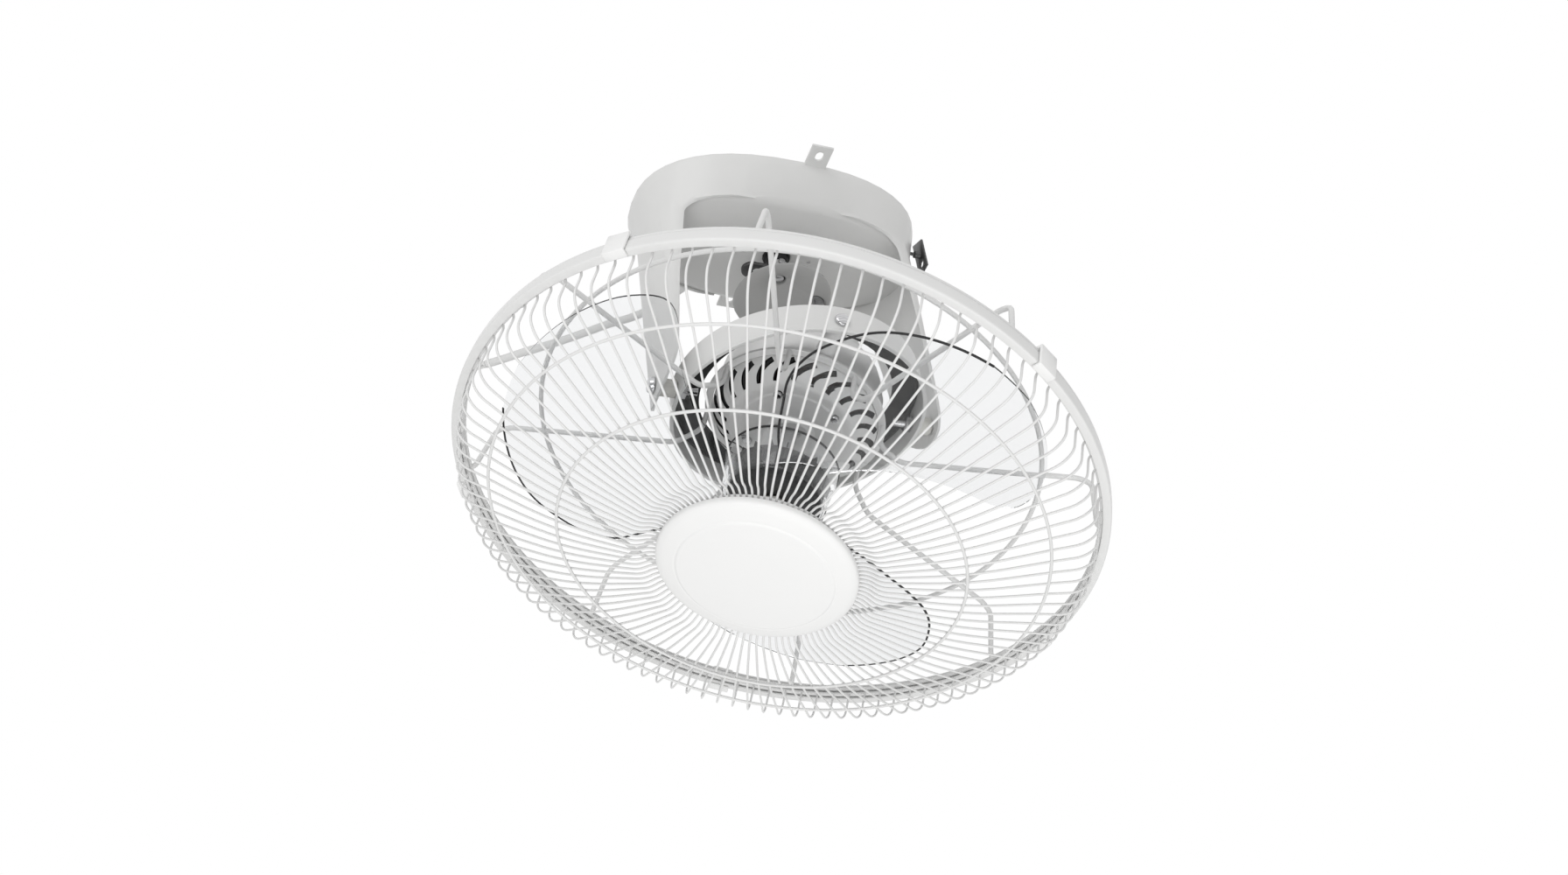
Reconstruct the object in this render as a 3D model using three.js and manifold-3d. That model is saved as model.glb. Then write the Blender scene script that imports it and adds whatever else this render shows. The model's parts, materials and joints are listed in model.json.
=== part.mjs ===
// Orbital ceiling fan: an oval pressed-steel bracket with two arms, a gimbal ring, and a guarded
// 400 mm class fan head that a slow crank leads round in a cone.
// Millimetres, +Z up. The origin is the middle of the bracket's rim, on the ceiling plane.

import * as THREE from 'three';
import { mergeVertices } from 'three/addons/utils/BufferGeometryUtils.js';
import Module from 'manifold-3d';

const wasm = await Module();
wasm.setup();

// ---------------------------------------------------------------- driving dimensions

const seatGap = 0.3;             // between pieces that touch
const sheet = 2;                 // pressed steel of bracket and arms

const pan = {
  halfLength: 122, halfWidth: 75.5, depth: 33, lipDrop: 7,
  floorHalfLength: 117, floorHalfWidth: 57, edgeRound: 5, squareness: 2.4,
};
const arm = {
  endHalfLength: 112.5, endHalfWidth: 66, halfWidthTop: 40, halfWidthEnd: 32, tip: 210, fillet: 16,
  bow: 1.2,                      // how far the arm's curve comes in over a bush's width
};
const ear = { width: 18, reach: 20, offset: 10.8, holeWidth: 6.6, holeLength: 9 };
const lug = { thickness: 1.5, width: 16, height: 38, standOff: 4, offset: -18, holeRadius: 3 };

const pivotDrop = 196;           // ceiling to the gimbal's centre
const headTilt = 17;             // degrees off the vertical in the stored pose

const orbitMotor = { radius: 24, height: 17, wall: 2, earWidth: 12, screwReach: 28.5 };
const orbitShaft = { radius: 4, clearance: 0.4 };
const outputGear = { teeth: 10, radius: 15, toothDepth: 2.2, thickness: 5, lift: 5 };
const orbitBush = { radius: 8, flangeRadius: 12, flangeThickness: 3, nose: 8, noseRadius: 9.5 };
const crank = {
  throwRadius: 32, armWidth: 16, armThickness: 3, tailLength: 19, holeRadius: 3.5, armDrop: 52,
  hubRadius: 8.5, pinRadius: 5, coneTopRadius: 8, coneEndRadius: 40, coneWall: 2, coneHeight: 26,
};
const openPivotGap = 2.5;        // the crank pin stops this far above the sweep of the head's tail

const terminalBlock = { length: 36, width: 18, height: 13, ways: 4, x: -64, y: 8 };
const capacitor = { length: 40, width: 20, height: 25, x: 66, y: 4, cornerRadius: 3 };

const ring = { radius: 96, wall: 1.6, height: 26, below: 12, lip: 1.4, sides: 40 };
const liner = { innerRadius: 74, thickness: 2, skirt: 3.5, above: 11.5 };
const ringPivot = {
  radius: 3.5, headRadius: 7, headHeight: 4, nutRadius: 6.8, nutHeight: 6, tip: 9, bushRadius: 7,
};
const headPivot = { radius: 3, bossRadius: 8, bossEnd: 91, depth: 16, headRadius: 6, headHeight: 4.2 };

const motor = {
  radius: 63, wall: 3, split: 9, rear: 30, webThickness: 4,
  capRadius: 42, capLength: 60, neckRadius: 9, neckTop: 97, ballRadius: 7, tailEnd: 106,
  shoulder: 14, faceRadius: 47, face: 27, noseRadius: 16, nose: 33,
};
const vents = { count: 24, width: 4.4, innerRadius: 50.5, outerRadius: 60.5, lean: 10 };
const bearing = { radius: 11, width: 8, seatDepth: 9 };
const bellScrew = {
  circle: 38.5, turns: [-124, -52, 56, 128], radius: 2, headRadius: 3.3, headHeight: 2.2, length: 9,
};
const stator = {
  radius: 59.4, bore: 27.2, rear: 14, front: 4, slots: 6, slotWidth: 9, slotInner: 33, slotOuter: 51,
};
const winding = { innerRadius: 31, outerRadius: 53, overhang: 9.5 };
const rotorCore = { radius: 26.6 };
const shaft = { radius: 5, rear: 26, end: 113 };

const band = {
  distance: 96, radius: 236, lip: 6.2, wall: 1.7, halfHeight: 7, clipCount: 5, clipPhase: 10,
};
const clip = { width: 16, wall: 2, grip: 5 };
const guardEdge = { wire: 2, lift: 2.6, radius: band.radius - band.lip - 0.2 };
const frontGuard = {
  spokes: 30, wire: 1.4, edgeInset: 2.2, sideTop: 24, shoulderInset: 11.6, shoulderTop: 34,
  outerRingRadius: 197.6, outerRingTop: 41, innerRingRadius: 143.2, innerRingTop: 59,
  neckRadius: 85, neckTop: 66.5, jogRadius: 76, endRadius: 60, endTop: 61.5, ringWire: 1.7,
};
const rearGuard = {
  wires: 8, wire: 2.1, edgeInset: 3, bendInset: 7.6, bendBack: 42, flatBack: 47, supportRadius: 186,
  kinkRadius: 84, neckRadius: 67, neckBack: 64, collarWidth: 3, collarStart: 9.6,
};
const cap = {
  radius: 71, wall: 2.2, edgeBack: 64.6, edgeTop: 70, crown: 77, lineRadius: 56,
  plateRadius: 65, plateThickness: 2.5, screwCircle: 40, bossRadius: 4.5, screwRadius: 1.6,
};

const hub = { radius: 41, frontRadius: 38, wall: 2.4, rear: 64, front: 101, insertRadius: 19, ribs: 9, ribWidth: 2 };
const blades = {
  count: 3, phase: 60, thickness: 1.8, chordSteps: 6,
  middle: 87, rootMiddle: 84,    // distance ahead of the gimbal's centre, at the tips and at the hub
  pitch: 0.46, rootPitch: 0.3,   // millimetres along the axis for each degree of arc
  outline: [                     // [radius, angle of the front edge, angle of the rear edge]
    [39.4, -44, 16], [72, -46, 22], [104, -45, 31], [130, -44, 38], [152, -40, 43], [170, -34, 43],
    [184, -28, 36], [193, -21, 26], [199, -13, 15], [203, -5, 6],
  ],
};
const hubNut = { radius: 10, height: 9 };

const cord = { radius: 3.5, coreRadius: 1.2, coreLength: 14, sleeveWall: 1.6, sleeveLength: 36, straight: 8 };
const glandSeat = [-57.5, 62.5, -14.9];   // where the lead's sleeve crosses the pan's wall
const glandOut = [-0.55, 0.83, -0.06];    // and the way it points
const cordRoute = [                       // the rest of the lead's middle line
  [-94, 109, -19.5], [-111, 119, -21.5], [-128, 130.5, -24], [-144, 141, -26.5], [-161, 150.5, -29.5],
  [-178, 160, -32.5], [-193, 168.5, -35.5], [-207, 176, -38],
];

// ---------------------------------------------------------------- materials

const paint = (color, roughness, metalness) => new THREE.MeshStandardMaterial({ color, roughness, metalness });
const whiteSteel = paint('#f1f1ef', 0.4, 0.1);
const whitePlastic = paint('#f6f6f4', 0.45, 0);
const greyCasting = paint('#d3d3d1', 0.45, 0.3);
const greyPlastic = paint('#b4b4b2', 0.5, 0);
const blackPlastic = paint('#1b1b1c', 0.5, 0);
const brightSteel = paint('#c8c9cb', 0.25, 0.95);
const darkSteel = paint('#4c4c4e', 0.4, 0.8);
const nylon = paint('#ecebe4', 0.5, 0);
const copper = paint('#a5602f', 0.4, 0.8);
const lamination = paint('#6d6e70', 0.5, 0.7);
const clearPlastic = paint('#cfd4d8', 0.1, 0);

// ---------------------------------------------------------------- solids

const tau = Math.PI * 2;
const radians = THREE.MathUtils.degToRad;

/** Merges shared vertices, drops collapsed triangles and turns the faces outwards. */
function weld(geometry) {
  const bare = new THREE.BufferGeometry();
  bare.setAttribute('position', geometry.getAttribute('position').clone());
  if (geometry.index) bare.setIndex(geometry.index.clone());
  const merged = mergeVertices(bare, 1e-4);
  const place = merged.getAttribute('position');
  const corner = (i) => new THREE.Vector3().fromBufferAttribute(place, i);
  const kept = [];
  let volume = 0;
  for (let i = 0; i < merged.index.count; i += 3) {
    const [a, b, c] = [0, 1, 2].map((k) => merged.index.getX(i + k));
    if (a === b || b === c || c === a) continue;
    kept.push([a, b, c]);
    volume += corner(a).dot(corner(b).cross(corner(c)));
  }
  merged.setIndex(kept.flatMap(([a, b, c]) => (volume < 0 ? [a, c, b] : [a, b, c])));
  return merged;
}

function toSolid(geometry) {
  const closed = weld(geometry);
  return new wasm.Manifold(new wasm.Mesh({
    numProp: 3,
    vertProperties: new Float32Array(closed.getAttribute('position').array),
    triVerts: new Uint32Array(closed.index.array),
  }));
}

function toGeometry(solid) {
  const mesh = solid.getMesh();
  const geometry = new THREE.BufferGeometry();
  geometry.setAttribute('position', new THREE.BufferAttribute(mesh.vertProperties, 3));
  geometry.setIndex(new THREE.BufferAttribute(mesh.triVerts, 1));
  return geometry;
}

const join = (...parts) => toGeometry(parts.map(toSolid).reduce((a, b) => a.add(b)));
const cut = (body, ...tools) => toGeometry(tools.map(toSolid).reduce((a, b) => a.subtract(b), toSolid(body)));
const common = (a, b) => toGeometry(toSolid(a).intersect(toSolid(b)));

/** A turned piece about Z, from a closed outline of [radius, z] points. */
function turned(outline, segments = 28) {
  const points = [...outline, outline[0]].map(([r, z]) => new THREE.Vector2(r, z));
  return weld(new THREE.LatheGeometry(points, segments).rotateX(Math.PI / 2));
}

const tube = (outer, inner, low, high, segments) => turned(
  [[inner, low], [outer, low], [outer, high], [inner, high]], segments,
);

/** A rod along Z from low to high. */
function rod(radius, low, high, sides = 14, topRadius = radius) {
  return new THREE.CylinderGeometry(topRadius, radius, high - low, sides)
    .rotateX(Math.PI / 2).translate(0, 0, (low + high) / 2);
}

const box = (size, centre) => new THREE.BoxGeometry(...size).translate(...centre);

/** A rod along X or Y, by turning one along Z. */
const rodX = (radius, from, to, sides) => rod(radius, from, to, sides).rotateY(Math.PI / 2);
const rodY = (radius, from, to, sides) => rod(radius, from, to, sides).rotateX(-Math.PI / 2);

function roundPolygon(radius, sides) {
  const corners = Array.from({ length: sides }, (_, i) => (
    new THREE.Vector2(radius * Math.cos((i + 0.5) * tau / sides), radius * Math.sin((i + 0.5) * tau / sides))
  ));
  return new THREE.Shape(corners);
}

/** A bent wire in the X-Z plane through [x, z] points, three-sided, with mitred bends. */
function bentWire(points, radius) {
  const at = points.map(([x, z]) => new THREE.Vector2(x, z));
  const along = (i) => at[i + 1].clone().sub(at[i]).normalize();
  const section = [0, 1, 2].map((k) => [radius * Math.cos(k * tau / 3), radius * Math.sin(k * tau / 3)]);
  const positions = [];
  const index = [];
  at.forEach((point, i) => {
    const before = along(Math.max(0, i - 1));
    const after = along(Math.min(at.length - 2, i));
    const mid = before.clone().add(after).normalize();
    const stretch = 1 / mid.dot(after);
    for (const [inPlane, across] of section) {
      positions.push(point.x - mid.y * inPlane * stretch, across, point.y + mid.x * inPlane * stretch);
    }
    if (i === 0) return;
    for (let k = 0; k < 3; k += 1) {
      const [a, b] = [(i - 1) * 3 + k, (i - 1) * 3 + (k + 1) % 3];
      index.push(a, b, b + 3, a, b + 3, a + 3);
    }
  });
  const end = (at.length - 1) * 3;
  index.push(0, 2, 1, end, end + 1, end + 2);
  const geometry = new THREE.BufferGeometry();
  geometry.setAttribute('position', new THREE.Float32BufferAttribute(positions, 3));
  geometry.setIndex(index);
  return geometry;
}

const wireRing = (radius, z, wireRadius, segments = 32) => turned(
  Array.from({ length: 3 }, (_, i) => [
    radius + wireRadius * Math.cos(i * tau / 3), z + wireRadius * Math.sin(i * tau / 3),
  ]),
  segments,
);

/** Copies of a geometry turned evenly about Z. */
const around = (geometry, count, phase = 0) => Array.from({ length: count }, (_, i) => (
  geometry.clone().rotateZ(radians(phase) + i * tau / count)
));

/** A stack of oval sections, closed at both ends; each level is [z, halfLength, halfWidth]. */
function ovalStack(levels, segments = 44) {
  const power = 2 / pan.squareness;
  const signed = (value) => Math.sign(value) * Math.abs(value) ** power;
  const positions = [];
  const index = [];
  for (const [z, halfLength, halfWidth] of levels) {
    for (let i = 0; i < segments; i += 1) {
      const turn = i * tau / segments;
      positions.push(halfLength * signed(Math.cos(turn)), halfWidth * signed(Math.sin(turn)), z);
    }
  }
  for (let level = 1; level < levels.length; level += 1) {
    for (let i = 0; i < segments; i += 1) {
      const [a, b] = [(level - 1) * segments + i, (level - 1) * segments + (i + 1) % segments];
      index.push(a, b, b + segments, a, b + segments, a + segments);
    }
  }
  const last = (levels.length - 1) * segments;
  for (let i = 1; i < segments - 1; i += 1) {
    index.push(0, i + 1, i);
    index.push(last, last + i, last + i + 1);
  }
  const geometry = new THREE.BufferGeometry();
  geometry.setAttribute('position', new THREE.Float32BufferAttribute(positions, 3));
  geometry.setIndex(index);
  return weld(geometry);
}

const shrunk = (levels, by) => levels.map(([z, a, b]) => [z, a - by, b - by]);

/** A flat piece of an outline in X and Y, from low to high. */
function plate(shape, low, high, curveSegments = 6) {
  return new THREE.ExtrudeGeometry(shape, { depth: high - low, bevelEnabled: false, curveSegments })
    .translate(0, 0, low);
}

function stadium(from, to, halfWidth) {
  const shape = new THREE.Shape();
  shape.absarc(to, 0, halfWidth, -Math.PI / 2, Math.PI / 2, false);
  shape.absarc(from, 0, halfWidth, Math.PI / 2, Math.PI * 1.5, false);
  return shape;
}

const fan = new THREE.Group();
const head = new THREE.Group();  // the tilted frame of motor, guard and blades; its forward way is -Z
head.position.z = -pivotDrop;
head.rotation.y = radians(headTilt);
fan.add(head);

function place(name, geometry, material, group = fan) {
  const mesh = new THREE.Mesh(weld(geometry), material);
  mesh.name = name;
  group.add(mesh);
}

// ---------------------------------------------------------------- bracket

const panFloorTop = -pan.depth + sheet;
const sleeveRadius = cord.radius + cord.sleeveWall;
const wallLevels = [
  [0, pan.halfLength, pan.halfWidth],
  [-pan.lipDrop, pan.halfLength - 1, pan.halfWidth - 2.5],
  [-pan.depth + pan.edgeRound, pan.floorHalfLength, pan.floorHalfWidth + pan.edgeRound / 2],
];

function armAtDepth(depth) {
  const share = (depth - pan.depth) / (arm.tip - pan.depth);
  return [
    THREE.MathUtils.lerp(pan.floorHalfLength, arm.endHalfLength, share),
    THREE.MathUtils.lerp(pan.floorHalfWidth, arm.endHalfWidth, share),
  ];
}

function armOutline() {
  const top = -pan.depth + pan.edgeRound;
  const filletEnd = -pan.depth - arm.fillet;
  const centre = -(arm.tip - arm.halfWidthEnd);
  const wide = arm.halfWidthTop + arm.fillet;
  const shape = new THREE.Shape();
  shape.moveTo(-wide, top);
  shape.lineTo(-wide, -pan.depth + 1);
  shape.quadraticCurveTo(-arm.halfWidthTop, -pan.depth, -arm.halfWidthTop, filletEnd);
  shape.lineTo(-arm.halfWidthEnd, centre);
  shape.absarc(0, centre, arm.halfWidthEnd, Math.PI, tau, false);
  shape.lineTo(arm.halfWidthTop, filletEnd);
  shape.quadraticCurveTo(arm.halfWidthTop, -pan.depth, wide, -pan.depth + 1);
  shape.lineTo(wide, top);
  return shape;
}

function bracket() {
  const outerPan = ovalStack([
    [-pan.depth, pan.floorHalfLength - pan.edgeRound, pan.floorHalfWidth - pan.edgeRound],
    [-pan.depth + pan.edgeRound / 3, pan.floorHalfLength - 1, pan.floorHalfWidth - 1],
    ...[...wallLevels].reverse(),
  ]);
  const innerPan = ovalStack([
    [panFloorTop, pan.floorHalfLength - pan.edgeRound - sheet, pan.floorHalfWidth - pan.edgeRound],
    ...shrunk([...wallLevels].reverse(), sheet).map(([z, a, b]) => [z || 1, a, b]),
  ]);
  const armLevels = [[-arm.tip - 1, arm.endHalfLength, arm.endHalfWidth],
    [-pan.depth + pan.edgeRound, pan.floorHalfLength, pan.floorHalfWidth + pan.edgeRound / 2]];
  const armTube = cut(ovalStack(armLevels), ovalStack(shrunk(armLevels, sheet).map(([z, a, b], i) => (
    [z + (i ? 1 : -1), a, b]
  ))));
  const armPlan = plate(armOutline(), -pan.halfLength - 5, pan.halfLength + 5, 10)
    .rotateX(Math.PI / 2).rotateZ(Math.PI / 2);
  const arms = common(armTube, armPlan);

  const earPlate = box([ear.width, ear.reach + 4, sheet], [
    ear.offset, -(pan.halfWidth + (ear.reach - 4) / 2), -sheet / 2,
  ]);
  const earHole = plate(
    stadium(-(ear.holeLength - ear.holeWidth) / 2, (ear.holeLength - ear.holeWidth) / 2, ear.holeWidth / 2),
    -sheet - 1, 1,
  ).rotateZ(Math.PI / 2).translate(ear.offset, -(pan.halfWidth + ear.reach / 2), 0);
  const turnedBack = (piece) => piece.clone().rotateZ(Math.PI);

  const shell = join(
    cut(outerPan, innerPan), arms, cut(earPlate, earHole), turnedBack(cut(earPlate, earHole)),
  );
  const [armLength] = armAtDepth(pivotDrop);
  return cut(
    shell,
    rod(orbitBush.radius, -pan.depth - 1, panFloorTop + 1, 20),
    ...[-1, 1].map((side) => rod(1.6, -pan.depth - 1, panFloorTop + 1, 8)
      .translate(side * orbitMotor.screwReach, 0, 0)),
    rodX(ringPivot.radius + seatGap, -armLength - 5, armLength + 5, 12).translate(0, 0, -pivotDrop),
    glandAligned(rod(sleeveRadius + seatGap, -10, 10, 16)),
    rodX(1.8, pan.halfLength - 12, pan.halfLength + 4, 10).translate(0, lug.offset, -lug.height / 2),
  );
}

/** Turns a piece made along Z to the way the lead leaves the bracket's wall. */
function glandAligned(geometry) {
  const turn = new THREE.Quaternion().setFromUnitVectors(
    new THREE.Vector3(0, 0, 1), new THREE.Vector3(...glandOut).normalize(),
  );
  return geometry.applyQuaternion(turn).translate(...glandSeat);
}

function safetyLug() {
  const start = pan.halfLength + seatGap;
  const face = new THREE.Shape();
  face.moveTo(-lug.width / 2, 0);
  face.lineTo(lug.width / 2, -lug.width * 0.45);
  face.lineTo(lug.width / 2, -lug.height);
  face.lineTo(-lug.width / 2, -lug.height);
  const upright = plate(face, 0, lug.thickness).rotateX(Math.PI / 2).rotateZ(-Math.PI / 2)
    .translate(start + lug.standOff, lug.offset, 0);
  const foot = rodX(3.2, start - 2.6, start + lug.standOff + 0.5, 14).translate(0, lug.offset, -lug.height / 2);
  const hole = rodX(lug.holeRadius, start + lug.standOff - 2, start + lug.standOff + 4, 14)
    .translate(0, lug.offset, -lug.height * 0.78);
  const shank = rodX(1.5, start - 8, start, 10).translate(0, lug.offset, -lug.height / 2);
  return cut(join(upright, foot, shank), hole);
}

place('canopy_bracket', bracket(), whiteSteel);
place('safety_lug', safetyLug(), darkSteel);

// ---------------------------------------------------------------- orbit drive

const caseLow = panFloorTop + seatGap;
const caseTop = caseLow + orbitMotor.height;

function orbitCase() {
  const earPlate = plate(stadium(-orbitMotor.screwReach, orbitMotor.screwReach, orbitMotor.earWidth / 2),
    caseLow, caseLow + orbitMotor.wall);
  const body = rod(orbitMotor.radius, caseLow, caseTop, 20);
  return cut(
    join(body, earPlate),
    rod(orbitMotor.radius - orbitMotor.wall, caseLow + orbitMotor.wall, caseTop - orbitMotor.wall, 20),
    rod(orbitShaft.radius + orbitShaft.clearance, caseLow - 1, caseLow + orbitMotor.wall + 1),
    rod(orbitShaft.radius, caseTop - orbitMotor.wall - 1, caseTop + 1),
    ...[-1, 1].map((side) => rod(1.9, caseLow - 1, caseLow + 4, 8).translate(side * orbitMotor.screwReach, 0, 0)),
  );
}

function panScrew(headRadius, headHeight, shankRadius, length) {
  return join(
    rod(headRadius, 0, headHeight, 12, headRadius * 0.8),
    rod(shankRadius, -length, 0.5, 6),
  );
}

function gear({ teeth, radius, toothDepth, thickness }) {
  const shape = new THREE.Shape();
  for (let i = 0; i < teeth * 4; i += 1) {
    const reach = radius - (i % 4 < 2 ? 0 : toothDepth);
    const turn = i * tau / (teeth * 4);
    const point = [reach * Math.cos(turn), reach * Math.sin(turn)];
    if (i) shape.lineTo(...point);
    else shape.moveTo(...point);
  }
  return plate(shape, 0, thickness);
}

const gearLow = caseLow + outputGear.lift;
const crankArmTop = -crank.armDrop;
const crankArmLow = crankArmTop - crank.armThickness;
const tailSweepTop = -pivotDrop + motor.tailEnd;
const crankPinEnd = -pivotDrop + Math.sqrt(motor.tailEnd ** 2 - (crank.throwRadius - crank.pinRadius) ** 2)
  + openPivotGap;
const coneLow = Math.max(crankArmLow - seatGap - crank.coneHeight, tailSweepTop + openPivotGap);

function bushProfile() {
  const bore = orbitShaft.radius + orbitShaft.clearance;
  const flangeTop = -pan.depth - seatGap;
  const flangeLow = flangeTop - orbitBush.flangeThickness;
  return [
    [bore, caseLow - seatGap], [orbitBush.radius - seatGap, caseLow - seatGap],
    [orbitBush.radius - seatGap, flangeTop], [orbitBush.flangeRadius, flangeTop],
    [orbitBush.flangeRadius - 1, flangeLow], [orbitBush.noseRadius, flangeLow],
    [orbitBush.noseRadius - 1.5, flangeLow - orbitBush.nose], [bore, flangeLow - orbitBush.nose],
  ];
}

function crankArm() {
  return cut(
    plate(stadium(-crank.tailLength - crank.armWidth / 2 + 3, crank.throwRadius, crank.armWidth / 2),
      crankArmLow, crankArmTop),
    rod(orbitShaft.radius + seatGap, crankArmLow - 1, crankArmTop + 1),
    rod(crank.holeRadius, crankArmLow - 1, crankArmTop + 1).translate(-crank.tailLength, 0, 0),
    rod(crank.pinRadius - 1.5, crankArmLow - 1, crankArmTop + 1, 12).translate(crank.throwRadius, 0, 0),
  );
}

const hubTop = -pan.depth - orbitBush.flangeThickness - orbitBush.nose - 2 * seatGap;

place('orbit_motor_case', orbitCase(), brightSteel);
for (const [side, name] of [[-1, 'left'], [1, 'right']]) {
  place(`orbit_motor_screw_${name}`, panScrew(3.4, 2.2, 1.3, orbitMotor.wall + sheet + seatGap)
    .translate(side * orbitMotor.screwReach, 0, caseLow + orbitMotor.wall + seatGap), brightSteel);
}
place('orbit_bush', turned(bushProfile(), 16), blackPlastic);
place('orbit_shaft', rod(orbitShaft.radius, crankArmLow - 4, caseTop - orbitMotor.wall - seatGap), brightSteel);
place('orbit_output_gear', cut(
  gear(outputGear), rod(orbitShaft.radius + seatGap, -1, outputGear.thickness + 1),
).translate(0, 0, gearLow), nylon);
place('crank_arm', crankArm(), darkSteel);
place('crank_hub', cut(
  tube(crank.hubRadius, orbitShaft.radius + seatGap, crankArmTop + seatGap, hubTop, 20),
  rodY(1.6, -crank.hubRadius - 2, 0, 10).translate(0, 0, (crankArmTop + hubTop) / 2),
), greyPlastic);
place('crank_set_screw', panScrew(3.2, 2.4, 1.3, 3.4).rotateX(Math.PI / 2)
  .translate(0, -crank.hubRadius - seatGap, (crankArmTop + hubTop) / 2), brightSteel);
place('crank_cone', cut(turned([
  [orbitShaft.radius + 1.5, crankArmLow - seatGap], [crank.coneTopRadius, crankArmLow - seatGap],
  [crank.coneEndRadius, coneLow], [crank.coneEndRadius - crank.coneWall, coneLow],
  [orbitShaft.radius + 1.5, crankArmLow - seatGap - 5],
], 32), rod(crank.pinRadius + seatGap, coneLow - 1, crankArmLow).translate(crank.throwRadius, 0, 0)), greyPlastic);
place('crank_pin', join(
  rod(crank.pinRadius, crankPinEnd, crankArmLow - seatGap),
  rod(crank.pinRadius - 1.8, crankArmLow - 1, crankArmTop + 2.5, 12),
).translate(crank.throwRadius, 0, 0), brightSteel);

// ---------------------------------------------------------------- wiring in the pan, and the lead

function terminals() {
  const { length, width, height, ways, x, y } = terminalBlock;
  const low = panFloorTop + seatGap;
  const pitch = length / ways;
  const middle = (i) => x + (i - (ways - 1) / 2) * pitch;
  const body = box([length, width, height], [x, y, low + height / 2]);
  const wells = Array.from({ length: ways }, (_, i) => rod(2.6, low + height - 5, low + height + 1, 8)
    .translate(middle(i), y, 0));
  const ports = Array.from({ length: ways }, (_, i) => rodY(2.2, -width / 2 - 1, -width / 2 + 5, 6)
    .translate(middle(i), y, low + height * 0.4));
  return cut(body, ...wells, ...ports);
}

function capacitorCase() {
  const { length, width, height, x, y, cornerRadius } = capacitor;
  const low = panFloorTop + seatGap;
  const shape = new THREE.Shape();
  const [a, b, r] = [length / 2, width / 2, cornerRadius];
  shape.absarc(a - r, b - r, r, 0, Math.PI / 2, false);
  shape.absarc(-a + r, b - r, r, Math.PI / 2, Math.PI, false);
  shape.absarc(-a + r, -b + r, r, Math.PI, Math.PI * 1.5, false);
  shape.absarc(a - r, -b + r, r, Math.PI * 1.5, tau, false);
  return plate(shape, low, low + height, 4).translate(x, y, 0);
}

function leadCurve() {
  const out = new THREE.Vector3(...glandOut).normalize();
  const start = [0, cord.straight].map((more) => (
    new THREE.Vector3(...glandSeat).addScaledVector(out, cord.sleeveLength + seatGap + more)
  ));
  return new THREE.CatmullRomCurve3(
    [...start, ...cordRoute.map((p) => new THREE.Vector3(...p))], false, 'centripetal',
  );
}

function leadCores() {
  const curve = leadCurve();
  const end = curve.getPointAt(1);
  const out = curve.getTangentAt(1);
  const turn = new THREE.Quaternion().setFromUnitVectors(new THREE.Vector3(0, 0, 1), out);
  const collar = rod(cord.radius - 0.4, seatGap, seatGap + 1.5, 10);
  const cores = Array.from({ length: 3 }, (_, i) => rod(cord.coreRadius, seatGap + 1, cord.coreLength, 6)
    .translate(1.7 * Math.cos(i * tau / 3), 1.7 * Math.sin(i * tau / 3), 0));
  return join(collar, ...cores).applyQuaternion(turn).translate(end.x, end.y, end.z);
}

function gland() {
  return glandAligned(turned([
    [0, -5], [sleeveRadius, -5], [sleeveRadius, cord.sleeveLength * 0.5],
    [cord.radius + 0.8, cord.sleeveLength], [0, cord.sleeveLength],
  ], 16));
}

place('terminal_block', terminals(), whitePlastic);
place('run_capacitor', capacitorCase(), blackPlastic);
place('cord_gland', gland(), whitePlastic);
place('supply_cord', new THREE.ExtrudeGeometry(roundPolygon(cord.radius, 10), {
  steps: 14, bevelEnabled: false, extrudePath: leadCurve(),
}), whitePlastic);
place('supply_cord_cores', leadCores(), copper);

// ---------------------------------------------------------------- gimbal

const ringLow = -pivotDrop - ring.below;
const ringTop = ringLow + ring.height;
const ringInner = ring.radius - ring.wall;

/** A hoop whose flats, not its corners, face X and Y and lie at the stated radii. */
const flatSided = (outline) => turned(
  outline.map(([r, z]) => [r / Math.cos(Math.PI / ring.sides), z]), ring.sides,
).rotateZ(Math.PI / ring.sides);

function gimbalRing() {
  const shell = flatSided([
    [ringInner, ringLow], [ring.radius + ring.lip, ringLow], [ring.radius + ring.lip, ringLow + ring.wall],
    [ring.radius, ringLow + ring.wall + ring.lip], [ring.radius, ringTop], [ringInner, ringTop],
  ]);
  const across = ring.radius + 8;
  return cut(
    shell,
    rodX(ringPivot.radius + seatGap, -across, across, 12).translate(0, 0, -pivotDrop),
    rodY(headPivot.radius + seatGap, -across, across, 12).translate(0, 0, -pivotDrop),
  );
}

function gimbalLiner() {
  const top = -pivotDrop + liner.above;
  const outer = ringInner - seatGap;
  return flatSided([
    [liner.innerRadius, top - liner.thickness], [outer - liner.thickness, top - liner.thickness],
    [outer - liner.thickness, top - liner.skirt], [outer, top - liner.skirt], [outer, top],
    [liner.innerRadius, top],
  ]);
}

const hexagon = (radius, low, high) => rod(radius, low, high, 6);

place('gimbal_ring', gimbalRing(), whiteSteel);
place('gimbal_liner', gimbalLiner(), blackPlastic);

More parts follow.
